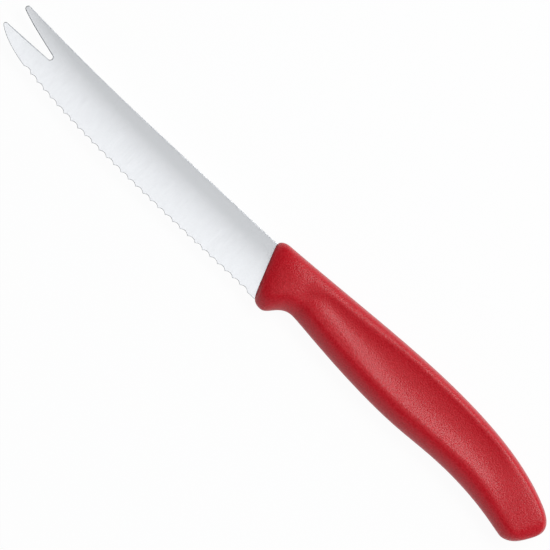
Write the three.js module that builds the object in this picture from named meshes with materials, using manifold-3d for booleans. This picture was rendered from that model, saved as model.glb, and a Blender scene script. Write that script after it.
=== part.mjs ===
// A cheese and sausage knife: a stamped blade with a forked tip and a wavy edge, moulded into a handle.
// Lengths are in millimetres. The knife lies on its right flank. +X runs from the tip to the butt,
// +Y points from the edge to the spine and +Z points out of the left flank.
// The outlines are drawn about the blade's axis, with X = 0 where the handle's front face crosses it.
import * as THREE from "three";
import { mergeVertices } from "three/addons/utils/BufferGeometryUtils.js";
import Module from "manifold-3d";

// Blade
const BLADE_LENGTH = 109.9; // from the handle to the tip of the lower tine
const BLADE_THICKNESS = 1.2;
const SPINE_HEIGHT = 8.3; // above the blade's axis
const EDGE_DEPTH = 8.8; // below the blade's axis
const EDGE_THICKNESS = 0.4; // where the ground flanks reach the edge, before it is sharpened
const GRIND_WIDTH = 13.5; // ground part of the flank, from the edge towards the flat under the spine
const BELLY_START = 14.6; // length of straight edge in front of the handle
const BELLY_PULL = 45; // how far the straight edge carries on into the curved belly
const TIP_PULL = 12.7; // how far the lower tip's heading reaches back into the belly
const TIP_HEADING = 40; // degrees that the belly has turned up by when it meets the lower tip
const SPINE_RISE_LENGTH = 53; // front part of the spine, which bends up to the upper tip
const SPINE_RISE_PULL = 18;
const SPINE_TIP_HEADING = 3.2; // degrees

// Fork
const LOWER_TIP_RADIUS = 0.7;
const LOWER_TIP_HEIGHT = 0.75; // centre of the tip above the blade's axis
const UPPER_TIP_RADIUS = 0.9;
const UPPER_TIP_HEIGHT = 8.95;
const UPPER_TIP_SETBACK = 1.6; // behind the lower tip
const SLOT_DEPTH = 18.3; // from the lower tip to the bottom of the slot
const SLOT_ROOT_RADIUS = 0.85;
const SLOT_ROOT_HEIGHT = 2.66;
const TINE_ROOT_LEAN = 15; // degrees, inner edge of the upper tine at the slot's bottom
const TINE_TIP_LEAN = 22; // degrees, the same edge at the tip
const TINE_PULL = 5;

// Wavy edge, ground from the right side only
const SCALLOP_PITCH = 3.13;
const SCALLOP_DEPTH = 0.8; // on the left face, before the flank's slope
const SCALLOP_BEVEL = 23; // degrees between the ground hollow and the flank
const FIRST_CREST = 0.43; // the waves start this far behind the front face's middle
const PLAIN_TIP = 14; // unsharpened belly behind the lower tip

// Tang, the part of the blade inside the handle
const TANG_LENGTH = 62;
const TANG_TOP = 6.2;
const TANG_BOTTOM = 2.2; // below the blade's axis
const TANG_END_TOP = 5.2;
const TANG_END_BOTTOM = 0.4; // above the blade's axis
const TANG_END_CHAMFER = 1.5;
const HEEL_INSET = 3.4; // the edge stops this far behind the front face's middle
const HEEL_RISE_LENGTH = 7;
const SPINE_INSET = 2;
const SPINE_FALL_LENGTH = 4;
const KEY_HOLE_RADIUS = 2;
const KEY_HOLE_HEIGHT = 2.3;
const FRONT_KEY_HOLE = 24; // behind the front face's middle
const REAR_KEY_HOLE = 48;
const SEAT_GAP = 0.2; // between the tang and the handle moulded round it

// Handle outline, seen from the left
const FRONT_LEAN = 20; // degrees, the front face leans over the blade
const FRONT_TOP = 7.3; // upper end of the straight front face
const FRONT_BOTTOM = 5; // lower end, below the blade's axis
const BOLSTER_RISE = 2.15; // bolster above the blade's spine
const BOLSTER_CORNER = 0.55; // where the bolster's round corner runs into the spine
const CORNER_PULL = 2;
const BOLSTER_HEADING = 2.4; // degrees, slope of the handle's spine at the bolster
const BOLSTER_PULL = 21;
const CREST_X = 60.7;
const CREST_Y = 13.16;
const CREST_PULL_FORWARD = 17;
const CREST_PULL_BACK = 23.2;
const GUARD_X = 6.75;
const GUARD_DROP = 1.05; // guard below the blade's edge
const NOSE_PULL = 3.7;
const GUARD_PULL = 2.95;
const WAIST_X = 15.45;
const WAIST_Y = 4.68; // below the blade's axis, as are the other points of the handle's belly
const WAIST_PULL_FORWARD = 5.15;
const WAIST_PULL_BACK = 3;
const SWELL_X = 57.45;
const SWELL_Y = 7.92;
const SWELL_PULL_FORWARD = 19;
const SWELL_PULL_BACK = 8;
const HOLLOW_X = 79.5;
const HOLLOW_Y = 7.07;
const HOLLOW_PULL_FORWARD = 8;
const HOLLOW_PULL_BACK = 16.8;
const HEEL_X = 107.9;
const HEEL_Y = 10.57;
const HEEL_PULL_FORWARD = 2.1;
const HEEL_PULL_BACK = 1.75;
const BUTT_LOW_X = 113.2; // lower end of the straight butt face
const BUTT_LOW_Y = 7.37;
const BUTT_HIGH_X = 115.3; // upper end
const BUTT_HIGH_Y = 4.03;
const BUTT_PULL_LOW = 2.24;
const BUTT_PULL_HIGH = 3.16;
const SHOULDER_X = 111; // where the spine turns down into the butt
const SHOULDER_Y = 5.1;
const SHOULDER_HEADING = 24.6; // degrees, downwards
const SHOULDER_PULL_FORWARD = 12.9;
const SHOULDER_PULL_BACK = 7.4;
const WAIST_SHARE = 0.18; // share of the front spine curve that lies opposite the guard
const HOLLOW_SHARE = 0.4; // share of the rear spine curve that lies opposite the hollow

// Handle cross-section
const HANDLE_THICKNESS = 12;
const FRONT_FACE_THICKNESS = 4.4;
const FRONT_ROUND = 9; // length over which the flanks round off to the front face
const BUTT_FACE_THICKNESS = 3.2;
const BUTT_ROUND = 5;
const BUTT_TAPER = 1.2; // the handle's half thickness shrinks by this towards the butt
const BUTT_TAPER_START = 86;
const SPINE_ROUND = 1.8;
const SPINE_SQUARENESS = 2.4; // exponent of the superellipse across the handle's spine
const BOLSTER_CROWN = 2; // the flank's middle stands this far above its sides at the front
const BUTT_CROWN = 0.8; // the same at the butt
const CROWN_FLATNESS = 5; // exponent of the crown: the flank is flat in the middle and falls off to its sides
const ROUNDS_SHARE = 0.85; // most of a section's height that the rounds of its spine and belly may take
const RIM_WIDTH = 1.4; // from the handle's spine to where the thumb scoop would reach the flank's full height
const RIDGE_RISE = 0.5; // the round belly reaches up this much further than half the handle's thickness
const SCOOP_SLOPE = 21; // degrees, steepness of the creased scoop at its border
const FRONT_SLOPE = 14.5; // degrees, greatest steepness of the rounded scoop at the front
const SCOOP_FRONT = 9.9; // the scoop starts this far behind the front face's middle
const SCOOP_CORNER = 12; // radius of the arc that leads from the scoop's front into the rim
const SCOOP_FADE_START = 84;
const SCOOP_FADE_END = 108;
const CREASE_SOFTNESS = 0.35; // roundness of the scoop's creases
const ROUNDED_SCOOP_END = 26; // from here the rounded scoop gets its creases
const CREASED_SCOOP_START = 54;

// Mesh fineness
const GRIND_ROWS = 7;
const BELLY_STEPS = 24;
const CURVE_STEPS = 12;
const ARC_STEPS = 10;
const HOLE_STEPS = 12;
const CUTTER_SIDES = 72;
const SPINE_STEPS = 4;
const FLANK_STEPS = 12;
const ROUND_STEPS = 6;
const STRETCH_STEPS = [8, 11, 24, 8, 12, 8];

const wasm = await Module();
wasm.setup();

const radians = THREE.MathUtils.degToRad;
const smoothstep = THREE.MathUtils.smoothstep;
const handleRadius = HANDLE_THICKNESS / 2;
const heading = (degrees) => new THREE.Vector2(Math.cos(radians(degrees)), Math.sin(radians(degrees)));
const forward = heading(180);
const backward = heading(0);

// A point of the blade, by its distance in front of the handle and above the blade's axis
const ahead = (distance, height) => new THREE.Vector2(-distance, height);

// A curve that leaves one point along one heading and arrives at another point along a second heading
function sweep(start, leaving, startPull, end, arriving, endPull) {
  const startHandle = start.clone().addScaledVector(leaving, startPull);
  const endHandle = end.clone().addScaledVector(arriving, -endPull);
  return new THREE.CubicBezierCurve(start, startHandle, endHandle, end);
}

// The lower of two values, with a rounded change from one to the other
function softMinimum(a, b, softness) {
  const overlap = Math.max(softness - Math.abs(a - b), 0) / softness;
  return Math.min(a, b) - (overlap * overlap * softness) / 4;
}

function toSolid(geometry) {
  geometry.deleteAttribute("normal");
  geometry.deleteAttribute("uv");
  const merged = mergeVertices(geometry);
  const vertProperties = new Float32Array(merged.attributes.position.array);
  const triVerts = new Uint32Array(merged.index.array);
  return new wasm.Manifold(new wasm.Mesh({ numProp: 3, vertProperties, triVerts }));
}

function toGeometry(solid) {
  const mesh = solid.getMesh();
  const geometry = new THREE.BufferGeometry();
  geometry.setAttribute("position", new THREE.BufferAttribute(new Float32Array(mesh.vertProperties), 3));
  geometry.setIndex(new THREE.BufferAttribute(new Uint32Array(mesh.triVerts), 1));
  geometry.computeVertexNormals();
  return geometry;
}

// A closed skin over rings of equal length. Each ring starts on the mid-plane, runs over the left side,
// meets the mid-plane again half way round and comes back over the right side.
function loft(rings) {
  const count = rings[0].length;
  const corner = (ring, step) => ring * count + (step % count);
  const triangles = [];
  for (let ring = 0; ring + 1 < rings.length; ring++) {
    for (let step = 0; step < count; step++) {
      const near = [corner(ring, step), corner(ring, step + 1)];
      const far = [corner(ring + 1, step), corner(ring + 1, step + 1)];
      triangles.push(near[0], near[1], far[1], near[0], far[1], far[0]);
    }
  }
  const last = rings.length - 1;
  for (let step = 0; step < count / 2; step++) {
    const left = [step, step + 1];
    const right = [count - step, count - step - 1];
    if (step > 0) {
      triangles.push(corner(0, left[0]), corner(0, right[0]), corner(0, left[1]));
      triangles.push(corner(last, left[0]), corner(last, left[1]), corner(last, right[0]));
    }
    if (step + 1 < count / 2) {
      triangles.push(corner(0, left[1]), corner(0, right[0]), corner(0, right[1]));
      triangles.push(corner(last, left[1]), corner(last, right[1]), corner(last, right[0]));
    }
  }
  const geometry = new THREE.BufferGeometry().setFromPoints(rings.flat());
  geometry.setIndex(triangles);
  return geometry;
}

// One side of a ring, from mid-plane to mid-plane, completed by its mirror image on the right
function mirroredRing(leftSide) {
  const rightSide = leftSide.slice(1, -1).reverse();
  return [...leftSide, ...rightSide.map((point) => new THREE.Vector3(point.x, point.y, -point.z))];
}

// A flat outline given thickness to both sides of the mid-plane
function plate(shape, thickness) {
  const geometry = new THREE.ExtrudeGeometry(shape, {
    depth: thickness,
    bevelEnabled: false,
    curveSegments: HOLE_STEPS,
  });
  geometry.translate(0, 0, -thickness / 2);
  return toSolid(geometry);
}

// A closed outline moved outwards by a gap
function grown(outline, gap) {
  const turn = THREE.ShapeUtils.isClockWise(outline) ? 1 : -1;
  const outward = (from, to) => {
    const across = new THREE.Vector2(from.y - to.y, to.x - from.x);
    return across.normalize().multiplyScalar(turn);
  };
  return outline.map((point, index) => {
    const before = outline[(index + outline.length - 1) % outline.length];
    const after = outline[(index + 1) % outline.length];
    const normals = [outward(before, point), outward(point, after)];
    const reach = gap / (1 + normals[0].dot(normals[1]));
    return point.clone().addScaledVector(normals[0].add(normals[1]), reach);
  });
}

// Blade outline
const lowerTip = ahead(BLADE_LENGTH - LOWER_TIP_RADIUS, LOWER_TIP_HEIGHT);
const upperTip = ahead(BLADE_LENGTH - UPPER_TIP_SETBACK - UPPER_TIP_RADIUS, UPPER_TIP_HEIGHT);
const slotRoot = ahead(BLADE_LENGTH - SLOT_DEPTH + SLOT_ROOT_RADIUS, SLOT_ROOT_HEIGHT);
const onCircle = (centre, radius, degrees) => centre.clone().addScaledVector(heading(degrees), radius);

// Points round part of a circle, between two directions in degrees
function arc(centre, radius, start, end) {
  const points = [];
  for (let step = 0; step <= ARC_STEPS; step++) {
    points.push(onCircle(centre, radius, THREE.MathUtils.lerp(start, end, step / ARC_STEPS)));
  }
  return points;
}

const bladeBelly = sweep(
  ahead(BELLY_START, -EDGE_DEPTH),
  forward,
  BELLY_PULL,
  onCircle(lowerTip, LOWER_TIP_RADIUS, 270 - TIP_HEADING),
  heading(180 - TIP_HEADING),
  TIP_PULL,
);
const tineEdge = sweep(
  onCircle(slotRoot, SLOT_ROOT_RADIUS, 90 - TINE_ROOT_LEAN),
  heading(180 - TINE_ROOT_LEAN),
  TINE_PULL,
  onCircle(upperTip, UPPER_TIP_RADIUS, 270 - TINE_TIP_LEAN),
  heading(180 - TINE_TIP_LEAN),
  TINE_PULL,
);
const spineRise = sweep(
  onCircle(upperTip, UPPER_TIP_RADIUS, 90 - SPINE_TIP_HEADING),
  heading(-SPINE_TIP_HEADING),
  SPINE_RISE_PULL,
  ahead(BLADE_LENGTH - SPINE_RISE_LENGTH, SPINE_HEIGHT),
  backward,
  SPINE_RISE_PULL,
);

// The tang, from the end of the edge round its free end to the end of the spine
const tang = [
  new THREE.Vector2(HEEL_INSET, -EDGE_DEPTH),
  new THREE.Vector2(HEEL_INSET + HEEL_RISE_LENGTH, -TANG_BOTTOM),
  new THREE.Vector2(TANG_LENGTH - TANG_END_CHAMFER, TANG_END_BOTTOM),
  new THREE.Vector2(TANG_LENGTH, TANG_END_BOTTOM + TANG_END_CHAMFER),
  new THREE.Vector2(TANG_LENGTH, TANG_END_TOP - TANG_END_CHAMFER),
  new THREE.Vector2(TANG_LENGTH - TANG_END_CHAMFER, TANG_END_TOP),
  new THREE.Vector2(SPINE_INSET + SPINE_FALL_LENGTH, TANG_TOP),
  new THREE.Vector2(SPINE_INSET, SPINE_HEIGHT),
];

function withKeyHoles(shape, radius) {
  for (const along of [FRONT_KEY_HOLE, REAR_KEY_HOLE]) {
    shape.holes.push(new THREE.Path().absarc(along, KEY_HOLE_HEIGHT, radius, 0, Math.PI * 2, false));
  }
  return shape;
}

// The whole blade, from the heel along the edge to the fork and back along the spine to the tang
function bladeShape() {
  const outline = [
    tang[0],
    ...bladeBelly.getPoints(BELLY_STEPS),
    ...arc(lowerTip, LOWER_TIP_RADIUS, 270 - TIP_HEADING, 90).slice(1),
    ...arc(slotRoot, SLOT_ROOT_RADIUS, -90, 90 - TINE_ROOT_LEAN),
    ...tineEdge.getPoints(CURVE_STEPS).slice(1),
    ...arc(upperTip, UPPER_TIP_RADIUS, 270 - TINE_TIP_LEAN, 90 - SPINE_TIP_HEADING).slice(1),
    ...spineRise.getPoints(CURVE_STEPS).slice(1),
    ...tang.slice(1).reverse(),
  ];
  return withKeyHoles(new THREE.Shape(outline), KEY_HOLE_RADIUS);
}

// Half the thickness of the ground blank at a height above the edge: convex up to the flat under the spine
function blankHalfThickness(height) {
  const unground = Math.max(1 - height / GRIND_WIDTH, 0);
  return BLADE_THICKNESS / 2 - ((BLADE_THICKNESS - EDGE_THICKNESS) / 2) * unground * unground;
}

// The ground blank that blade and tang are stamped from, reaching past their outline all round
function groundBlank(growth) {
  const overhang = 1;
  const top = SPINE_HEIGHT + UPPER_TIP_HEIGHT;
  const tipSlope = Math.tan(radians(TIP_HEADING));
  const rootEnd = new THREE.Vector2(TANG_LENGTH + overhang, -EDGE_DEPTH);
  const tipEnd = new THREE.Vector2(-BLADE_LENGTH - overhang, bladeBelly.v3.y + tipSlope * overhang);
  const stations = [rootEnd, ...bladeBelly.getPoints(BELLY_STEPS), tipEnd];
  const heights = [-overhang];
  for (let row = 0; row <= GRIND_ROWS; row++) {
    heights.push((GRIND_WIDTH * row) / GRIND_ROWS);
  }
  const rings = stations.map((edge) => {
    const left = heights.map(
      (height) => new THREE.Vector3(edge.x, edge.y + height, blankHalfThickness(height) + growth),
    );
    left.push(new THREE.Vector3(edge.x, top, BLADE_THICKNESS / 2 + growth));
    const bottomMiddle = new THREE.Vector3(edge.x, edge.y - overhang, 0);
    const topMiddle = new THREE.Vector3(edge.x, top, 0);
    return mirroredRing([bottomMiddle, ...left, topMiddle]);
  });
  return toSolid(loft(rings));
}

// A slanted cylinder that grinds one hollow into the edge from the right side, and leaves the left face whole
function scallopCutter(firstCrest, nextCrest) {
  const bevel = radians(SCALLOP_BEVEL);
  const sagitta = SCALLOP_DEPTH * Math.sin(bevel);
  const radius = (SCALLOP_PITCH * SCALLOP_PITCH) / (8 * sagitta) + sagitta / 2;
  const tangent = nextCrest.clone().sub(firstCrest).normalize();
  const middle = firstCrest.clone().lerp(nextCrest, 0.5);
  const inward = new THREE.Vector3(tangent.y, -tangent.x, 0);
  const axis = inward.clone().multiplyScalar(Math.cos(bevel)).setZ(-Math.sin(bevel));
  const offset = inward.clone().multiplyScalar(-Math.sin(bevel)).setZ(-Math.cos(bevel));
  const centre = new THREE.Vector3(middle.x, middle.y, EDGE_THICKNESS / 2);
  centre.addScaledVector(inward, SCALLOP_DEPTH);
  centre.addScaledVector(offset, radius);
  const cutter = new THREE.CylinderGeometry(radius, radius, SPINE_HEIGHT, CUTTER_SIDES);
  cutter.applyQuaternion(new THREE.Quaternion().setFromUnitVectors(new THREE.Vector3(0, 1, 0), axis));
  cutter.translate(centre.x, centre.y, centre.z);
  return toSolid(cutter);
}

function bladeSolid() {
  const edge = new THREE.CurvePath();
  edge.add(new THREE.LineCurve(ahead(-FIRST_CREST, -EDGE_DEPTH), bladeBelly.v0));
  edge.add(bladeBelly);
  const length = edge.getLength();
  const count = Math.floor((length - PLAIN_TIP) / SCALLOP_PITCH);
  const crestAt = (index) => edge.getPointAt((index * SCALLOP_PITCH) / length);
  let solid = plate(bladeShape(), BLADE_THICKNESS * 2).intersect(groundBlank(0));
  for (let index = 0; index < count; index++) {
    solid = solid.subtract(scallopCutter(crestAt(index), crestAt(index + 1)));
  }
  return solid;
}

// Handle outline: pairs of curves along its spine and its belly, between which the cross-sections are drawn
const frontSlope = Math.tan(radians(FRONT_LEAN));
const frontTop = new THREE.Vector2(-frontSlope * FRONT_TOP, FRONT_TOP);
const frontBottom = new THREE.Vector2(frontSlope * FRONT_BOTTOM, -FRONT_BOTTOM);
const bolster = new THREE.Vector2(BOLSTER_CORNER, SPINE_HEIGHT + BOLSTER_RISE);
const crest = new THREE.Vector2(CREST_X, CREST_Y);
const shoulder = new THREE.Vector2(SHOULDER_X, SHOULDER_Y);
const guard = new THREE.Vector2(GUARD_X, -EDGE_DEPTH - GUARD_DROP);
const waist = new THREE.Vector2(WAIST_X, -WAIST_Y);
const swell = new THREE.Vector2(SWELL_X, -SWELL_Y);
const hollow = new THREE.Vector2(HOLLOW_X, -HOLLOW_Y);
const heel = new THREE.Vector2(HEEL_X, -HEEL_Y);
const buttLow = new THREE.Vector2(BUTT_LOW_X, -BUTT_LOW_Y);
const buttHigh = new THREE.Vector2(BUTT_HIGH_X, -BUTT_HIGH_Y);
const buttUp = buttHigh.clone().sub(buttLow).normalize();
const buttDown = buttUp.clone().negate();
const frontUp = heading(90 + FRONT_LEAN);
const frontDown = heading(FRONT_LEAN - 90);
const bolsterHeading = heading(BOLSTER_HEADING);
const shoulderHeading = heading(-SHOULDER_HEADING);

const topCorner = sweep(frontTop, frontUp, CORNER_PULL, bolster, bolsterHeading, CORNER_PULL);
const frontSpine = sweep(bolster, bolsterHeading, BOLSTER_PULL, crest, backward, CREST_PULL_FORWARD);
const rearSpine = sweep(crest, backward, CREST_PULL_BACK, shoulder, shoulderHeading, SHOULDER_PULL_FORWARD);
const topButt = sweep(shoulder, shoulderHeading, SHOULDER_PULL_BACK, buttHigh, buttDown, BUTT_PULL_HIGH);
const nose = sweep(frontBottom, frontDown, NOSE_PULL, guard, backward, GUARD_PULL);
const guardBack = sweep(guard, backward, GUARD_PULL, waist, backward, WAIST_PULL_FORWARD);
const gripBelly = sweep(waist, backward, WAIST_PULL_BACK, swell, backward, SWELL_PULL_FORWARD);
const swellBack = sweep(swell, backward, SWELL_PULL_BACK, hollow, backward, HOLLOW_PULL_FORWARD);
const heelFront = sweep(hollow, backward, HOLLOW_PULL_BACK, heel, backward, HEEL_PULL_FORWARD);
const heelBack = sweep(heel, backward, HEEL_PULL_BACK, buttLow, buttUp, BUTT_PULL_LOW);

const stretches = [
  { spine: topCorner, share: [0, 1], belly: nose },
  { spine: frontSpine, share: [0, WAIST_SHARE], belly: guardBack },
  { spine: frontSpine, share: [WAIST_SHARE, 1], belly: gripBelly },
  { spine: rearSpine, share: [0, HOLLOW_SHARE], belly: swellBack },
  { spine: rearSpine, share: [HOLLOW_SHARE, 1], belly: heelFront },
  { spine: topButt, share: [0, 1], belly: heelBack },
];

// How far a flank has dropped at a distance from an end face, over an elliptical round
function endDrop(distance, length, depth) {
  const inside = Math.max(1 - distance / length, 0);
  return depth * (1 - Math.sqrt(Math.max(1 - inside * inside, 0)));
}

// How far a point lies inside the scoop's border, whose front and rim meet in an arc
function insideScoop(belowRim, behindFront) {
  const toArc = Math.hypot(Math.max(SCOOP_CORNER - belowRim, 0), Math.max(SCOOP_CORNER - behindFront, 0));
  return SCOOP_CORNER - toArc + Math.max(Math.min(belowRim, behindFront) - SCOOP_CORNER, 0);
}

// Depth of the scoop at a distance inside its border: a smooth wave at the front, which turns into an arch
// with a crease at both ends
function scoopProfile(inside, panel, creasing) {
  const wave = Math.sin(Math.PI * THREE.MathUtils.clamp(inside / panel, -0.5, 1.5));
  const rounded = ((Math.tan(radians(FRONT_SLOPE)) * panel) / Math.PI) * wave * Math.abs(wave);
  const creased = Math.tan(radians(SCOOP_SLOPE)) * inside * (1 - inside / panel);
  return THREE.MathUtils.lerp(rounded, creased, creasing);
}

// The left half of one cross-section, from the spine over the flank to the belly, whose round starts
// where the scoop ends
function handleSection(top, bottom) {
  const height = top.distanceTo(bottom);
  const middle = top.clone().add(bottom).multiplyScalar(0.5);
  const fromFront = middle.clone().sub(frontTop).dot(heading(FRONT_LEAN));
  const fromButt = buttHigh.clone().sub(middle).dot(new THREE.Vector2(buttUp.y, -buttUp.x));
  const flankRadius = handleRadius - BUTT_TAPER * smoothstep(middle.x, BUTT_TAPER_START, BUTT_HIGH_X);
  const frontDepth = handleRadius - FRONT_FACE_THICKNESS / 2;
  const buttDepth = handleRadius - BUTT_TAPER - BUTT_FACE_THICKNESS / 2;
  const halfThickness =
    flankRadius - endDrop(fromFront, FRONT_ROUND, frontDepth) - endDrop(fromButt, BUTT_ROUND, buttDepth);
  const bellyReach = halfThickness + RIDGE_RISE;
  const fit = Math.min(1, (ROUNDS_SHARE * height) / (SPINE_ROUND + bellyReach));
  const spineRound = SPINE_ROUND * fit;
  const bellyRound = bellyReach * fit;
  const crown = THREE.MathUtils.lerp(BOLSTER_CROWN, BUTT_CROWN, Math.max(middle.x, 0) / BUTT_HIGH_X);
  const pointAt = (depth) => top.clone().lerp(bottom, depth / height);

  const panel = height - RIM_WIDTH - bellyRound;
  const fade = 1 - smoothstep(middle.x, SCOOP_FADE_START, SCOOP_FADE_END);
  const creasing = smoothstep(middle.x, ROUNDED_SCOOP_END, CREASED_SCOOP_START);
  const scoopDepth = (depth) => {
    const inside = insideScoop(depth - RIM_WIDTH, pointAt(depth).x - SCOOP_FRONT);
    return fade * scoopProfile(inside, panel, creasing);
  };
  const ridgeDrop = Math.max(scoopDepth(RIM_WIDTH + panel), 0);

  const outline = [];
  for (let step = 0; step < SPINE_STEPS; step++) {
    const angle = ((Math.PI / 2) * step) / SPINE_STEPS;
    const depth = spineRound * (1 - Math.cos(angle) ** (2 / SPINE_SQUARENESS));
    outline.push([depth, Math.sin(angle) ** (2 / SPINE_SQUARENESS)]);
  }
  for (let step = 0; step <= FLANK_STEPS; step++) {
    outline.push([spineRound + ((height - spineRound - bellyRound) * step) / FLANK_STEPS, 1]);
  }
  for (let step = ROUND_STEPS - 1; step >= 0; step--) {
    const angle = ((Math.PI / 2) * step) / ROUND_STEPS;
    outline.push([height - bellyRound * (1 - Math.cos(angle)), Math.sin(angle)]);
  }
  return outline.map(([depth, roundness]) => {
    const point = pointAt(depth);
    const offCentre = (2 * depth) / height - 1;
    const crownDrop = crown * Math.abs(offCentre) ** CROWN_FLATNESS;
    const lowered = ridgeDrop * smoothstep(depth, RIM_WIDTH, RIM_WIDTH + panel);
    const envelope = (halfThickness - crownDrop - lowered) * roundness;
    const scooped = halfThickness - scoopDepth(depth);
    const side = roundness > 0 ? softMinimum(envelope, scooped, CREASE_SOFTNESS) : 0;
    return new THREE.Vector3(point.x, point.y, Math.max(side, 0));
  });
}

function handleSolid() {
  const rings = [];
  stretches.forEach(({ spine, share, belly }, index) => {
    const steps = STRETCH_STEPS[index];
    for (let step = index === 0 ? 0 : 1; step <= steps; step++) {
      const top = spine.getPoint(THREE.MathUtils.lerp(share[0], share[1], step / steps));
      rings.push(mirroredRing(handleSection(top, belly.getPoint(step / steps))));
    }
  });
  const mouth = [ahead(BELLY_START, SPINE_HEIGHT), ahead(BELLY_START, -EDGE_DEPTH)];
  const pocketShape = new THREE.Shape(grown([...mouth, ...tang], SEAT_GAP));
  withKeyHoles(pocketShape, KEY_HOLE_RADIUS - SEAT_GAP);
  const pocket = plate(pocketShape, BLADE_THICKNESS * 2).intersect(groundBlank(SEAT_GAP));
  return toSolid(loft(rings)).subtract(pocket);
}

function piece(name, solid, surface) {
  const mesh = new THREE.Mesh(toGeometry(solid), new THREE.MeshStandardMaterial(surface));
  mesh.name = name;
  return mesh;
}

// The origin lies under the middle of the knife, on the surface it lies on
const knife = new THREE.Group();
knife.add(piece("blade", bladeSolid(), { color: 0xc8ccd2, roughness: 0.25, metalness: 1 }));
knife.add(piece("handle", handleSolid(), { color: 0xb2121f, roughness: 0.45, metalness: 0 }));
const box = new THREE.Box3().setFromObject(knife);
const centre = box.getCenter(new THREE.Vector3());
knife.position.set(-centre.x, -centre.y, -box.min.z);

export default knife;
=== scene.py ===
"""A cheese and sausage knife on a white studio floor, seen square on its left flank.

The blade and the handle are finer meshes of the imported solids, with procedural materials. The blade's edges
are chamfered, and the handle's bolster is rounder. Shapes are drawn in millimetres about the blade's axis:
X = 0 where the handle's front face crosses it, +X to the butt, +Y to the spine, +Z out of the left flank.
They are moved into the row frame at the end. Materials and studio are in metres, and angles are in degrees.
"""

import math

import bmesh
import bpy
import numpy as np
from mathutils import Matrix, Vector


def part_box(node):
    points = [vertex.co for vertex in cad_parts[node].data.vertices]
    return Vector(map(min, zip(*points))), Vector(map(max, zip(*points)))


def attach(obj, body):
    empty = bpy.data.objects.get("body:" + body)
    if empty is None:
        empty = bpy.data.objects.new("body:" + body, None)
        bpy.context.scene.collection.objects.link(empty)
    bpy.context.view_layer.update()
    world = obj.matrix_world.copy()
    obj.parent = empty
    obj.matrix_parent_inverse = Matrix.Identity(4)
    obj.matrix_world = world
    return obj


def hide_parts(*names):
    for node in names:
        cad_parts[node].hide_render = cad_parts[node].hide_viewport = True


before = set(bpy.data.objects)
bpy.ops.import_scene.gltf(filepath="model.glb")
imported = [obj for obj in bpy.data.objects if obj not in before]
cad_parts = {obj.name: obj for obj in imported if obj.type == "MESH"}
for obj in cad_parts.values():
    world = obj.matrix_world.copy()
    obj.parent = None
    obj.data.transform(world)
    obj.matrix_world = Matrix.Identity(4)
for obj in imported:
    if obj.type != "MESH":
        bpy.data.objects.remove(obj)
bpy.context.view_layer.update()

MM = 0.001

# Blade
BLADE_LENGTH = 109.9
BLADE_THICKNESS = 1.2
SPINE_HEIGHT = 8.3
EDGE_DEPTH = 8.8
EDGE_THICKNESS = 0.4
GRIND_WIDTH = 13.5
BELLY_START = 14.6
BELLY_PULL = 45
TIP_PULL = 12.7
TIP_HEADING = 40
SPINE_RISE_LENGTH = 53
SPINE_RISE_PULL = 18
SPINE_TIP_HEADING = 3.2

# Fork
LOWER_TIP_RADIUS = 0.7
LOWER_TIP_HEIGHT = 0.75
UPPER_TIP_RADIUS = 0.9
UPPER_TIP_HEIGHT = 8.95
UPPER_TIP_SETBACK = 1.6
SLOT_DEPTH = 18.3
SLOT_ROOT_RADIUS = 0.85
SLOT_ROOT_HEIGHT = 2.66
TINE_ROOT_LEAN = 15
TINE_TIP_LEAN = 22
TINE_PULL = 5

# Wavy edge
SCALLOP_PITCH = 3.13
SCALLOP_DEPTH = 0.8
SCALLOP_BEVEL = 23
POLISH_BEVEL = 22
POLISH_WIDTH = 0.2
FIRST_CREST = 0.43
PLAIN_TIP = 14
STRAIGHT_SAMPLES = 100
BELLY_SAMPLES = 2000

# Narrow chamfer all round the stamped outline, narrower along the ground edge
CHAMFER_WIDTH = 0.2
EDGE_CHAMFER_WIDTH = 0.1
CHAMFER_WIDENING_HEIGHT = 1
CHAMFER_ANGLE = 27

# Tang
TANG_LENGTH = 62
TANG_TOP = 6.2
TANG_BOTTOM = 2.2
TANG_END_TOP = 5.2
TANG_END_BOTTOM = 0.4
TANG_END_CHAMFER = 1.5
HEEL_INSET = 3.4
HEEL_RISE_LENGTH = 7
SPINE_INSET = 2
SPINE_FALL_LENGTH = 4
KEY_HOLE_RADIUS = 2
KEY_HOLE_HEIGHT = 2.3
KEY_HOLES = (24, 48)
SEAT_GAP = 0.03

# Handle outline: points, headings, and pulls that say how long a curve keeps its heading
FRONT_LEAN = 20
FRONT_TOP = 7.3
FRONT_BOTTOM = 5
BOLSTER = (0.55, 10.45)
CORNER_PULL = 2
BOLSTER_HEADING = 2.4
BOLSTER_PULL = 21
CREST = (60.7, 13.16)
CREST_PULLS = (17, 23.2)
GUARD = (6.75, -9.85)
NOSE_PULL = 3.7
GUARD_PULL = 2.95
WAIST = (15.45, -4.68)
WAIST_PULLS = (5.15, 3)
SWELL = (57.45, -7.92)
SWELL_PULLS = (19, 8)
HOLLOW = (79.5, -7.07)
HOLLOW_PULLS = (8, 16.8)
HEEL = (107.9, -10.57)
HEEL_PULLS = (2.1, 1.75)
BUTT_LOW = (113.2, -7.37)
BUTT_HIGH = (115.3, -4.03)
BUTT_PULLS = (2.24, 3.16)
SHOULDER = (111, 5.1)
SHOULDER_HEADING = 24.6
SHOULDER_PULLS = (12.9, 7.4)
WAIST_SHARE = 0.18
HOLLOW_SHARE = 0.4

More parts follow.
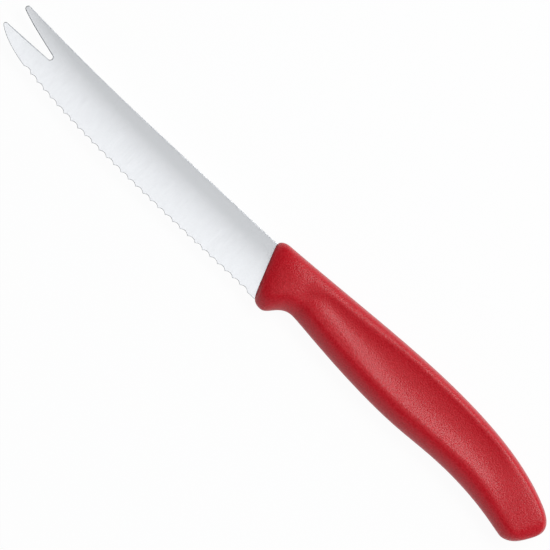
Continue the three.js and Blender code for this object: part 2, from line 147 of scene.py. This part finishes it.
# Handle cross-section, whose crown is rounder at the bolster than at the butt
HANDLE_THICKNESS = 12
FRONT_FACE_THICKNESS = 4.4
FRONT_ROUND = 9
BUTT_FACE_THICKNESS = 3.2
BUTT_ROUND = 5
BUTT_TAPER = 1.2
BUTT_TAPER_START = 86
SPINE_ROUND = 1.8
SPINE_SQUARENESS = 2.4
BOLSTER_CROWN = 2.0
BUTT_CROWN = 0.8
CROWN_FLATNESS = (3, 5)
CROWN_FLATTENING = (14, 46)
ROUNDS_SHARE = 0.85
RIM_WIDTH = 1.4
RIDGE_RISE = 0.5
SCOOP_SLOPE = 21
FRONT_SLOPE = 14.5
SCOOP_FRONT = 9.9
SCOOP_CORNER = 12
SCOOP_FADE = (84, 108)
CREASE_SOFTNESS = 0.35
ROUNDED_SCOOP = (26, 54)
WAVE_LIMITS = (-0.5, 1.5)

# Mesh fineness
GRIND_ROWS = 20
BELLY_STEPS = 60
CURVE_STEPS = 36
ARC_STEPS = 16
CUTTER_SIDES = 180
HOLE_SIDES = 48
SPINE_STEPS = 12
FLANK_STEPS = 44
ROUND_STEPS = 16
STRETCH_STEPS = (18, 22, 60, 26, 40, 20)
SHARP_ANGLE = 14

# Steel, with grinding lines across the blade
STEEL_COLOUR = (0.836, 0.848, 0.87, 1)
STEEL_ROUGHNESS = (0.22, 0.26)
LINE_SCALE = (9000, 250, 250)
LINE_DETAIL = 2
LINE_STRENGTH = 0.025
LINE_DEPTH = 0.00001

# Plastic, with a grain whose pits are painted darker as shade and whose peaks are painted lighter as
# highlights
PIT_SHADE_COLOUR = (0.508, 0.001, 0.008, 1)
PEAK_HIGHLIGHT_COLOUR = (0.645, 0.016, 0.028, 1)
PLASTIC_ROUGHNESS = (0.29, 0.39)
PLASTIC_SPECULAR = 0.35
GRAIN_SCALE = (2400, 2400, 2400)
GRAIN_DETAIL = 1
GRAIN_STRENGTH = 1
GRAIN_DEPTH = 0.0001

# Range that most values of the noise lie in
NOISE_RANGE = (0.3, 0.7)

# Floor
FLOOR_REACH = 6
FLOOR_COLOUR = (0.95, 0.95, 0.95, 1)
FLOOR_ROUGHNESS = 0.9
FLOOR_GLOW = 0.95

# Soft boxes: place, target, width and height, brightness of the face
LAMPS = {
    "key": ((0.28, 0.45, 0.83), (0, 0, 0), (0.78, 0.36), 7.2),
    "wall": ((0, 1.24, 0.4), (0, 0, 0), (0.95, 0.75), 1.05),
    "fill": ((0, -1.256, 0.336), (0, 0, 0), (0.95, 0.65), 0.4),
    "overhead": ((0, -0.191, 1.4), (0, -0.191, 0), (1.6, 0.41), 1.23),
}

# Studio walls: elevations between which their glow falls off, and its lean towards the butt's side
WALL_COLOUR = (0.78, 0.89, 1, 1)
WALL_GLOW = 0.5
WALL_TOP = (14, 44)
WALL_LEAN = 10
CEILING_GLOW = 0.06

# View
FIELD_WIDTH = 0.16797
CAMERA_HEIGHT = 1.2
CAMERA_ROLL = 43.02
VIEW_CENTRE = (-0.00014, -0.000435)
SENSOR_WIDTH = 36

AHEAD = np.array([-1.0, 0.0])
BACK = np.array([1.0, 0.0])


def heading(degrees):
    return np.array([math.cos(math.radians(degrees)), math.sin(math.radians(degrees))])


def sweep(start, leaving, start_pull, end, arriving, end_pull):
    """A curve that leaves one point along one heading and arrives at another along a second heading."""
    start, end = np.array(start, float), np.array(end, float)
    handles = start + leaving * start_pull, end - arriving * end_pull

    def at(share):
        t = np.asarray(share, float)[..., None]
        outer = (1 - t) ** 3 * start + t**3 * end
        return outer + 3 * (1 - t) ** 2 * t * handles[0] + 3 * (1 - t) * t**2 * handles[1]

    return at


def points_on(curve, steps):
    return curve(np.linspace(0, 1, steps + 1))


def on_circle(centre, radius, degrees):
    return np.array(centre) + radius * heading(degrees)


def arc(centre, radius, start, end):
    return np.array([on_circle(centre, radius, d) for d in np.linspace(start, end, ARC_STEPS + 1)])


def smoothstep(value, start, end):
    t = np.clip((value - start) / (end - start), 0, 1)
    return t * t * (3 - 2 * t)


def soft_minimum(a, b, softness):
    overlap = np.maximum(softness - np.abs(a - b), 0) / softness
    return np.minimum(a, b) - overlap**2 * softness / 4


def make_object(name, points, faces):
    mesh = bpy.data.meshes.new(name)
    mesh.from_pydata(np.asarray(points).tolist(), [], faces)
    obj = bpy.data.objects.new(name, mesh)
    bpy.context.scene.collection.objects.link(obj)
    shell = bmesh.new()
    shell.from_mesh(mesh)
    bmesh.ops.recalc_face_normals(shell, faces=shell.faces)
    shell.to_mesh(mesh)
    shell.free()
    return obj


def apply_modifier(obj, modifier):
    bpy.context.view_layer.objects.active = obj
    bpy.ops.object.modifier_apply(modifier=modifier.name)


def combine(obj, other, operation):
    """Cuts other out of obj, or keeps only what both share, and uses other up."""
    modifier = obj.modifiers.new("combine", "BOOLEAN")
    modifier.solver = "MANIFOLD"
    modifier.operation = operation
    modifier.object = other
    apply_modifier(obj, modifier)
    bpy.data.objects.remove(other)


def loft(name, rings):
    """A closed skin over rings of equal length, with a flat cap on the first and the last."""
    count = len(rings[0])
    last = (len(rings) - 1) * count
    faces = [list(range(count)), list(range(last, last + count))]
    for first in range(0, last, count):
        for step in range(count):
            after = (step + 1) % count
            faces.append((first + step, first + after, first + count + after, first + count + step))
    return make_object(name, np.concatenate(rings), faces)


def mirrored_ring(left):
    """A ring from its left side, which starts and ends on the mid-plane."""
    right = left[-2:0:-1] * (1, 1, -1)
    return np.concatenate([left, right])


def at_height(outline, height):
    return np.column_stack([outline, np.broadcast_to(height, len(outline))])


def grown(outline, gap):
    """A closed outline moved outwards by a gap."""
    x, y = outline.T
    area = np.sum(x * np.roll(y, -1) - y * np.roll(x, -1))
    along = np.roll(outline, -1, axis=0) - outline
    along /= np.linalg.norm(along, axis=1)[:, None]
    after = np.column_stack([along[:, 1], -along[:, 0]]) * np.sign(area)
    before = np.roll(after, 1, axis=0)
    reach = gap / (1 + np.sum(before * after, axis=1))
    return outline + (before + after) * reach[:, None]


def cylinder(name, radius, length, middle, axis, sides):
    mesh = bpy.data.meshes.new(name)
    shell = bmesh.new()
    place = Matrix.Translation(middle) @ Vector(axis).to_track_quat("Z", "Y").to_matrix().to_4x4()
    bmesh.ops.create_cone(
        shell, cap_ends=True, segments=sides, radius1=radius, radius2=radius, depth=length, matrix=place
    )
    shell.to_mesh(mesh)
    shell.free()
    obj = bpy.data.objects.new(name, mesh)
    bpy.context.scene.collection.objects.link(obj)
    return obj


# Blade

lower_tip = (LOWER_TIP_RADIUS - BLADE_LENGTH, LOWER_TIP_HEIGHT)
upper_tip = (UPPER_TIP_SETBACK + UPPER_TIP_RADIUS - BLADE_LENGTH, UPPER_TIP_HEIGHT)
slot_root = (SLOT_DEPTH - SLOT_ROOT_RADIUS - BLADE_LENGTH, SLOT_ROOT_HEIGHT)

blade_belly = sweep(
    (-BELLY_START, -EDGE_DEPTH),
    AHEAD,
    BELLY_PULL,
    on_circle(lower_tip, LOWER_TIP_RADIUS, 270 - TIP_HEADING),
    heading(180 - TIP_HEADING),
    TIP_PULL,
)
tine_edge = sweep(
    on_circle(slot_root, SLOT_ROOT_RADIUS, 90 - TINE_ROOT_LEAN),
    heading(180 - TINE_ROOT_LEAN),
    TINE_PULL,
    on_circle(upper_tip, UPPER_TIP_RADIUS, 270 - TINE_TIP_LEAN),
    heading(180 - TINE_TIP_LEAN),
    TINE_PULL,
)
spine_rise = sweep(
    on_circle(upper_tip, UPPER_TIP_RADIUS, 90 - SPINE_TIP_HEADING),
    heading(-SPINE_TIP_HEADING),
    SPINE_RISE_PULL,
    (SPINE_RISE_LENGTH - BLADE_LENGTH, SPINE_HEIGHT),
    BACK,
    SPINE_RISE_PULL,
)
tang = np.array(
    [
        (HEEL_INSET, -EDGE_DEPTH),
        (HEEL_INSET + HEEL_RISE_LENGTH, -TANG_BOTTOM),
        (TANG_LENGTH - TANG_END_CHAMFER, TANG_END_BOTTOM),
        (TANG_LENGTH, TANG_END_BOTTOM + TANG_END_CHAMFER),
        (TANG_LENGTH, TANG_END_TOP - TANG_END_CHAMFER),
        (TANG_LENGTH - TANG_END_CHAMFER, TANG_END_TOP),
        (SPINE_INSET + SPINE_FALL_LENGTH, TANG_TOP),
        (SPINE_INSET, SPINE_HEIGHT),
    ]
)
blade_outline = np.concatenate(
    [
        tang[:1],
        points_on(blade_belly, BELLY_STEPS),
        arc(lower_tip, LOWER_TIP_RADIUS, 270 - TIP_HEADING, 90)[1:],
        arc(slot_root, SLOT_ROOT_RADIUS, -90, 90 - TINE_ROOT_LEAN),
        points_on(tine_edge, CURVE_STEPS)[1:],
        arc(upper_tip, UPPER_TIP_RADIUS, 270 - TINE_TIP_LEAN, 90 - SPINE_TIP_HEADING)[1:],
        points_on(spine_rise, CURVE_STEPS)[1:],
        tang[:0:-1],
    ]
)


def blank_half_thickness(height):
    """Half the thickness at a height above the edge: convex up to the flat under the spine."""
    unground = np.maximum(1 - height / GRIND_WIDTH, 0)
    return BLADE_THICKNESS / 2 - (BLADE_THICKNESS - EDGE_THICKNESS) / 2 * unground**2


def ground_blank(growth):
    """The convex-ground blank that the blade is stamped from, reaching past its outline all round."""
    overhang = 1
    top = SPINE_HEIGHT + UPPER_TIP_HEIGHT
    belly = points_on(blade_belly, BELLY_STEPS)
    root_end = np.array([TANG_LENGTH + overhang, -EDGE_DEPTH])
    tip_rise = math.tan(math.radians(TIP_HEADING)) * overhang
    tip_end = np.array([-BLADE_LENGTH - overhang, belly[-1][1] + tip_rise])
    heights = np.array([-overhang, *np.linspace(0, GRIND_WIDTH, GRIND_ROWS + 1)])
    half = blank_half_thickness(heights) + growth
    rings = []
    for x, y in [root_end, *belly, tip_end]:
        left = [(x, y - overhang, 0)]
        left += [(x, y + height, side) for height, side in zip(heights, half)]
        left += [(x, top, BLADE_THICKNESS / 2 + growth), (x, top, 0)]
        rings.append(mirrored_ring(np.array(left)))
    return loft("blank", rings)


def chamfered_plate(name):
    """The stamped outline, whose walls lean in where they reach the faces of the blank."""
    belly = points_on(blade_belly, BELLY_STEPS)[::-1]
    above_edge = blade_outline[:, 1] - np.interp(blade_outline[:, 0], *belly.T)
    face = blank_half_thickness(above_edge)
    widening = smoothstep(above_edge, 0, CHAMFER_WIDENING_HEIGHT)
    width = EDGE_CHAMFER_WIDTH + (CHAMFER_WIDTH - EDGE_CHAMFER_WIDTH) * widening
    depth = width * math.tan(math.radians(CHAMFER_ANGLE))
    inner = grown(blade_outline, -2 * width)
    left = [
        at_height(blade_outline, face - depth),
        at_height(inner, face + depth),
        at_height(inner, BLADE_THICKNESS),
    ]
    right = [loop * (1, 1, -1) for loop in left[::-1]]
    return loft(name, right + left)


def scallop_crests():
    """Points along the edge, one scallop apart, up to the plain part of the belly."""
    straight = np.linspace((FIRST_CREST, -EDGE_DEPTH), (-BELLY_START, -EDGE_DEPTH), STRAIGHT_SAMPLES)
    edge = np.concatenate([straight, points_on(blade_belly, BELLY_SAMPLES)[1:]])
    travelled = np.concatenate([[0], np.cumsum(np.linalg.norm(np.diff(edge, axis=0), axis=1))])
    count = int((travelled[-1] - PLAIN_TIP) / SCALLOP_PITCH)
    marks = np.arange(count + 1) * SCALLOP_PITCH
    return np.column_stack([np.interp(marks, travelled, edge[:, i]) for i in (0, 1)])


def grind_hollows(blade, side, bevel, radius, reach, height):
    """Cuts a row of hollows with slanted cylinders, which leave the blade at a reach from its edge."""
    out = np.array([0, 0, side])
    crests = scallop_crests()
    for first, following in zip(crests, crests[1:]):
        tangent = (following - first) / np.linalg.norm(following - first)
        inward = np.array([tangent[1], -tangent[0], 0])
        axis = inward * math.cos(bevel) + out * math.sin(bevel)
        away = out * math.cos(bevel) - inward * math.sin(bevel)
        middle = np.array([*(first + following) / 2, height]) + inward * reach + away * radius
        combine(blade, cylinder("cutter", radius, SPINE_HEIGHT, middle, axis, CUTTER_SIDES), "DIFFERENCE")


def sharpen(blade):
    """Grinds the wavy edge from the right and takes its burr off with a narrow bevel on the left."""
    bevel, polish = math.radians(SCALLOP_BEVEL), math.radians(POLISH_BEVEL)
    sagitta = SCALLOP_DEPTH * math.sin(bevel)
    radius = SCALLOP_PITCH**2 / (8 * sagitta) + sagitta / 2
    grind_hollows(blade, -1, bevel, radius, SCALLOP_DEPTH, EDGE_THICKNESS / 2)
    slope = (BLADE_THICKNESS - EDGE_THICKNESS) / GRIND_WIDTH
    wave = SCALLOP_DEPTH / (1 + slope / math.tan(bevel))
    steeper = math.sin(bevel) + slope * math.cos(bevel)
    flatter = math.sin(polish) - slope * math.cos(polish)
    reach = wave + POLISH_WIDTH
    grind_hollows(blade, 1, polish, radius * steeper / flatter, reach, blank_half_thickness(reach))


def build_blade():
    blade = chamfered_plate("blade_fine")
    combine(blade, ground_blank(0), "INTERSECT")
    for along in KEY_HOLES:
        middle = (along, KEY_HOLE_HEIGHT, 0)
        hole = cylinder("hole", KEY_HOLE_RADIUS, HANDLE_THICKNESS, middle, (0, 0, 1), HOLE_SIDES)
        combine(blade, hole, "DIFFERENCE")
    sharpen(blade)
    return blade


# Handle

front_slope = math.tan(math.radians(FRONT_LEAN))
front_top = np.array([-front_slope * FRONT_TOP, FRONT_TOP])
front_bottom = np.array([front_slope * FRONT_BOTTOM, -FRONT_BOTTOM])
butt_up = np.array(BUTT_HIGH) - BUTT_LOW
butt_up /= np.linalg.norm(butt_up)
bolster_heading = heading(BOLSTER_HEADING)
shoulder_heading = heading(-SHOULDER_HEADING)

top_corner = sweep(front_top, heading(90 + FRONT_LEAN), CORNER_PULL, BOLSTER, bolster_heading, CORNER_PULL)
front_spine = sweep(BOLSTER, bolster_heading, BOLSTER_PULL, CREST, BACK, CREST_PULLS[0])
rear_spine = sweep(CREST, BACK, CREST_PULLS[1], SHOULDER, shoulder_heading, SHOULDER_PULLS[0])
top_butt = sweep(SHOULDER, shoulder_heading, SHOULDER_PULLS[1], BUTT_HIGH, -butt_up, BUTT_PULLS[1])
nose = sweep(front_bottom, heading(FRONT_LEAN - 90), NOSE_PULL, GUARD, BACK, GUARD_PULL)
guard_back = sweep(GUARD, BACK, GUARD_PULL, WAIST, BACK, WAIST_PULLS[0])
grip_belly = sweep(WAIST, BACK, WAIST_PULLS[1], SWELL, BACK, SWELL_PULLS[0])
swell_back = sweep(SWELL, BACK, SWELL_PULLS[1], HOLLOW, BACK, HOLLOW_PULLS[0])
heel_front = sweep(HOLLOW, BACK, HOLLOW_PULLS[1], HEEL, BACK, HEEL_PULLS[0])
heel_back = sweep(HEEL, BACK, HEEL_PULLS[1], BUTT_LOW, butt_up, BUTT_PULLS[0])

# Each stretch of the handle: its spine curve, the share of it that is used, and its belly curve
STRETCHES = (
    (top_corner, (0, 1), nose),
    (front_spine, (0, WAIST_SHARE), guard_back),
    (front_spine, (WAIST_SHARE, 1), grip_belly),
    (rear_spine, (0, HOLLOW_SHARE), swell_back),
    (rear_spine, (HOLLOW_SHARE, 1), heel_front),
    (top_butt, (0, 1), heel_back),
)


def end_drop(distance, length, depth):
    """How far a flank has dropped at a distance from an end face, over an elliptical round."""
    inside = max(1 - distance / length, 0)
    return depth * (1 - math.sqrt(max(1 - inside * inside, 0)))


def inside_scoop(below_rim, behind_front):
    """How far a point lies inside the scoop's border, whose front and rim meet in an arc."""
    to_arc = np.hypot(np.maximum(SCOOP_CORNER - below_rim, 0), np.maximum(SCOOP_CORNER - behind_front, 0))
    return SCOOP_CORNER - to_arc + np.maximum(np.minimum(below_rim, behind_front) - SCOOP_CORNER, 0)


def handle_section(top, bottom):
    """The left half of one cross-section, from the spine over the flank to the belly."""
    height = np.linalg.norm(top - bottom)
    middle = (top + bottom) / 2
    from_front = (middle - front_top) @ heading(FRONT_LEAN)
    from_butt = (np.array(BUTT_HIGH) - middle) @ (butt_up[1], -butt_up[0])
    half = HANDLE_THICKNESS / 2 - BUTT_TAPER * smoothstep(middle[0], BUTT_TAPER_START, BUTT_HIGH[0])
    half -= end_drop(from_front, FRONT_ROUND, (HANDLE_THICKNESS - FRONT_FACE_THICKNESS) / 2)
    half -= end_drop(from_butt, BUTT_ROUND, (HANDLE_THICKNESS - BUTT_FACE_THICKNESS) / 2 - BUTT_TAPER)
    belly_reach = half + RIDGE_RISE
    fit = min(1, ROUNDS_SHARE * height / (SPINE_ROUND + belly_reach))
    spine_round, belly_round = SPINE_ROUND * fit, belly_reach * fit
    panel = height - RIM_WIDTH - belly_round
    fade = 1 - smoothstep(middle[0], *SCOOP_FADE)
    creasing = smoothstep(middle[0], *ROUNDED_SCOOP)
    crown = BOLSTER_CROWN + (BUTT_CROWN - BOLSTER_CROWN) * max(middle[0], 0) / BUTT_HIGH[0]
    flatness = np.interp(smoothstep(middle[0], *CROWN_FLATTENING), (0, 1), CROWN_FLATNESS)

    def place_at(depth):
        return top + (bottom - top) * (np.asarray(depth) / height)[..., None]

    def scoop_depth(depth):
        inside = inside_scoop(depth - RIM_WIDTH, place_at(depth)[..., 0] - SCOOP_FRONT)
        creased = math.tan(math.radians(SCOOP_SLOPE)) * inside * (1 - inside / panel)
        # Outside the panel the wave is below zero, so that the envelope wins there
        wave = np.sin(math.pi * np.clip(inside / panel, *WAVE_LIMITS))
        rounded = math.tan(math.radians(FRONT_SLOPE)) * panel / math.pi * wave * np.abs(wave)
        return fade * (rounded + (creased - rounded) * creasing)

    ridge_drop = max(scoop_depth(RIM_WIDTH + panel), 0)
    over_spine = np.linspace(0, math.pi / 2, SPINE_STEPS + 1)[:-1]
    round_belly = np.linspace(math.pi / 2, 0, ROUND_STEPS + 1)[1:]
    spine_depth = spine_round * (1 - np.cos(over_spine) ** (2 / SPINE_SQUARENESS))
    flank_depth = np.linspace(spine_round, height - belly_round, FLANK_STEPS + 1)
    belly_depth = height - belly_round * (1 - np.cos(round_belly))
    depth = np.concatenate([spine_depth, flank_depth, belly_depth])
    spine_part = np.sin(over_spine) ** (2 / SPINE_SQUARENESS)
    roundness = np.concatenate([spine_part, np.ones(FLANK_STEPS + 1), np.sin(round_belly)])

    off_centre = np.abs(2 * depth / height - 1)
    to_ridge = smoothstep(depth, RIM_WIDTH, RIM_WIDTH + panel)
    envelope = (half - crown * off_centre**flatness - ridge_drop * to_ridge) * roundness
    side = np.maximum(soft_minimum(envelope, half - scoop_depth(depth), CREASE_SOFTNESS), 0)
    side[0] = side[-1] = 0
    return np.column_stack([place_at(depth), side])


def build_handle():
    rings = []
    for steps, (spine, share, belly) in zip(STRETCH_STEPS, STRETCHES):
        tops = spine(np.linspace(*share, steps + 1))
        bottoms = points_on(belly, steps)
        for top, bottom in list(zip(tops, bottoms))[1 if rings else 0 :]:
            rings.append(mirrored_ring(handle_section(top, bottom)))
    handle = loft("handle_fine", rings)
    mouth = np.array([(-BELLY_START, SPINE_HEIGHT), (-BELLY_START, -EDGE_DEPTH)])
    pocket_outline = grown(np.concatenate([mouth, tang]), SEAT_GAP)
    pocket = loft("pocket", [at_height(pocket_outline, side * BLADE_THICKNESS) for side in (-1, 1)])
    combine(pocket, ground_blank(SEAT_GAP), "INTERSECT")
    for along in KEY_HOLES:
        middle = (along, KEY_HOLE_HEIGHT, 0)
        key = cylinder("key", KEY_HOLE_RADIUS - SEAT_GAP, HANDLE_THICKNESS, middle, (0, 0, 1), HOLE_SIDES)
        combine(pocket, key, "DIFFERENCE")
    combine(handle, pocket, "DIFFERENCE")
    return handle


def finish_piece(obj, node, material):
    """Moves a piece from the drawing into the row frame and lets it stand for its CAD node."""
    blade_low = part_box("blade")[0]
    handle_low, handle_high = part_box("handle")
    origin = Vector(
        (
            blade_low.x + BLADE_LENGTH * MM,
            handle_high.y - CREST[1] * MM,
            (handle_low.z + handle_high.z) / 2,
        )
    )
    obj.data.transform(Matrix.Translation(origin) @ Matrix.Scale(MM, 4))
    obj.data.shade_smooth()
    obj.data.set_sharp_from_angle(angle=math.radians(SHARP_ANGLE))
    obj.data.materials.clear()
    obj.data.materials.append(material)
    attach(obj, "root")
    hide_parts(node)


# Materials


def new_material(name):
    material = bpy.data.materials.new(name)
    material.use_nodes = True
    nodes = material.node_tree.nodes
    return material, nodes, material.node_tree.links, nodes["Principled BSDF"]


def add_noise(nodes, links, scale, detail):
    place = nodes.new("ShaderNodeTexCoord")
    mapping = nodes.new("ShaderNodeMapping")
    mapping.inputs["Scale"].default_value = scale
    noise = nodes.new("ShaderNodeTexNoise")
    noise.inputs["Scale"].default_value = 1
    noise.inputs["Detail"].default_value = detail
    links.new(place.outputs["Object"], mapping.inputs["Vector"])
    links.new(mapping.outputs["Vector"], noise.inputs["Vector"])
    return noise.outputs["Fac"]


def add_range(nodes, links, value, low, high):
    spread = nodes.new("ShaderNodeMapRange")
    spread.inputs["From Min"].default_value = NOISE_RANGE[0]
    spread.inputs["From Max"].default_value = NOISE_RANGE[1]
    spread.inputs["To Min"].default_value = low
    spread.inputs["To Max"].default_value = high
    links.new(value, spread.inputs["Value"])
    return spread.outputs["Result"]


def add_bump(nodes, links, height, strength, distance, shader):
    bump = nodes.new("ShaderNodeBump")
    bump.inputs["Strength"].default_value = strength
    bump.inputs["Distance"].default_value = distance
    links.new(height, bump.inputs["Height"])
    links.new(bump.outputs["Normal"], shader.inputs["Normal"])


def steel_material():
    """Satin steel with very fine grinding lines across the blade."""
    material, nodes, links, shader = new_material("satin_steel")
    shader.inputs["Metallic"].default_value = 1
    shader.inputs["Base Color"].default_value = STEEL_COLOUR
    lines = add_noise(nodes, links, LINE_SCALE, LINE_DETAIL)
    links.new(add_range(nodes, links, lines, *STEEL_ROUGHNESS), shader.inputs["Roughness"])
    add_bump(nodes, links, lines, LINE_STRENGTH, LINE_DEPTH, shader)
    return material


def plastic_material():
    """Red moulded plastic with the fine pitted grain of a spark-eroded mould, its pits painted darker as
    shade and its peaks painted lighter as highlights.
    """
    material, nodes, links, shader = new_material("grained_red_plastic")
    shader.inputs["Specular IOR Level"].default_value = PLASTIC_SPECULAR
    grain = add_noise(nodes, links, GRAIN_SCALE, GRAIN_DETAIL)
    # Base colour painted darker in the grain's pits as shade and lighter on its peaks as highlights
    painted_grain_light = nodes.new("ShaderNodeMix")
    painted_grain_light.data_type = "RGBA"
    painted_grain_light.inputs["A"].default_value = PIT_SHADE_COLOUR
    painted_grain_light.inputs["B"].default_value = PEAK_HIGHLIGHT_COLOUR
    links.new(add_range(nodes, links, grain, 0, 1), painted_grain_light.inputs["Factor"])
    links.new(painted_grain_light.outputs["Result"], shader.inputs["Base Color"])
    links.new(add_range(nodes, links, grain, *PLASTIC_ROUGHNESS), shader.inputs["Roughness"])
    add_bump(nodes, links, grain, GRAIN_STRENGTH, GRAIN_DEPTH, shader)
    return material


def floor_material():
    """A white floor that shows as white and keeps a soft shadow."""
    material, nodes, links, shader = new_material("white_floor")
    shader.inputs["Base Color"].default_value = FLOOR_COLOUR
    shader.inputs["Roughness"].default_value = FLOOR_ROUGHNESS
    shader.inputs["Specular IOR Level"].default_value = 0
    glow = nodes.new("ShaderNodeEmission")
    path = nodes.new("ShaderNodeLightPath")
    seen = nodes.new("ShaderNodeMath")
    seen.operation = "ADD"
    through = nodes.new("ShaderNodeMath")
    through.operation = "ADD"
    share = nodes.new("ShaderNodeMath")
    share.operation = "MULTIPLY"
    share.inputs[1].default_value = FLOOR_GLOW
    share.use_clamp = True
    mix = nodes.new("ShaderNodeMixShader")
    links.new(path.outputs["Is Camera Ray"], seen.inputs[0])
    links.new(path.outputs["Is Glossy Ray"], seen.inputs[1])
    links.new(seen.outputs["Value"], through.inputs[0])
    links.new(path.outputs["Is Transmission Ray"], through.inputs[1])
    links.new(through.outputs["Value"], share.inputs[0])
    links.new(share.outputs["Value"], mix.inputs["Fac"])
    links.new(shader.outputs["BSDF"], mix.inputs[1])
    links.new(glow.outputs["Emission"], mix.inputs[2])
    links.new(mix.outputs["Shader"], nodes["Material Output"].inputs["Surface"])
    return material


# Studio


def add_lamp(name, place, target, size, radiance):
    """A soft box whose face has a given brightness."""
    data = bpy.data.lights.new(name, "AREA")
    data.shape = "RECTANGLE"
    data.size, data.size_y = size
    data.energy = radiance * math.pi * size[0] * size[1]
    lamp = bpy.data.objects.new(name, data)
    lamp.location = place
    lamp.rotation_euler = (Vector(target) - Vector(place)).to_track_quat("-Z", "Y").to_euler()
    bpy.context.scene.collection.objects.link(lamp)


def studio_walls():
    """Pale walls all round that darken to a dim ceiling."""
    world = bpy.data.worlds.new("studio")
    world.use_nodes = True
    nodes, links = world.node_tree.nodes, world.node_tree.links
    background = nodes["Background"]
    background.inputs["Color"].default_value = WALL_COLOUR
    place = nodes.new("ShaderNodeTexCoord")
    height = nodes.new("ShaderNodeVectorMath")
    height.operation = "DOT_PRODUCT"
    lean = math.radians(WALL_LEAN)
    height.inputs[1].default_value = (-math.sin(lean), 0, math.cos(lean))
    fall = nodes.new("ShaderNodeMapRange")
    fall.interpolation_type = "SMOOTHSTEP"
    fall.inputs["From Min"].default_value = math.sin(math.radians(WALL_TOP[0]))
    fall.inputs["From Max"].default_value = math.sin(math.radians(WALL_TOP[1]))
    fall.inputs["To Min"].default_value = WALL_GLOW
    fall.inputs["To Max"].default_value = CEILING_GLOW
    links.new(place.outputs["Generated"], height.inputs[0])
    links.new(height.outputs["Value"], fall.inputs["Value"])
    links.new(fall.outputs["Result"], background.inputs["Strength"])
    return world


def add_studio():
    corners = [(x * FLOOR_REACH, y * FLOOR_REACH, 0) for x, y in ((-1, -1), (1, -1), (1, 1), (-1, 1))]
    floor = make_object("floor", corners, [(0, 1, 2, 3)])
    floor.data.materials.append(floor_material())
    bpy.context.scene.world = studio_walls()
    for name, (place, target, size, radiance) in LAMPS.items():
        add_lamp(name, place, target, size, radiance)


def add_camera():
    data = bpy.data.cameras.new("camera")
    data.sensor_width = SENSOR_WIDTH
    data.lens = SENSOR_WIDTH * CAMERA_HEIGHT / FIELD_WIDTH
    camera = bpy.data.objects.new("camera", data)
    camera.location = (*VIEW_CENTRE, CAMERA_HEIGHT + HANDLE_THICKNESS / 2 * MM)
    camera.rotation_euler = (0, 0, math.radians(CAMERA_ROLL))
    bpy.context.scene.collection.objects.link(camera)
    bpy.context.scene.camera = camera


finish_piece(build_blade(), "blade", steel_material())
finish_piece(build_handle(), "handle", plastic_material())
add_studio()
add_camera()
bpy.context.scene.view_settings.view_transform = "Standard"
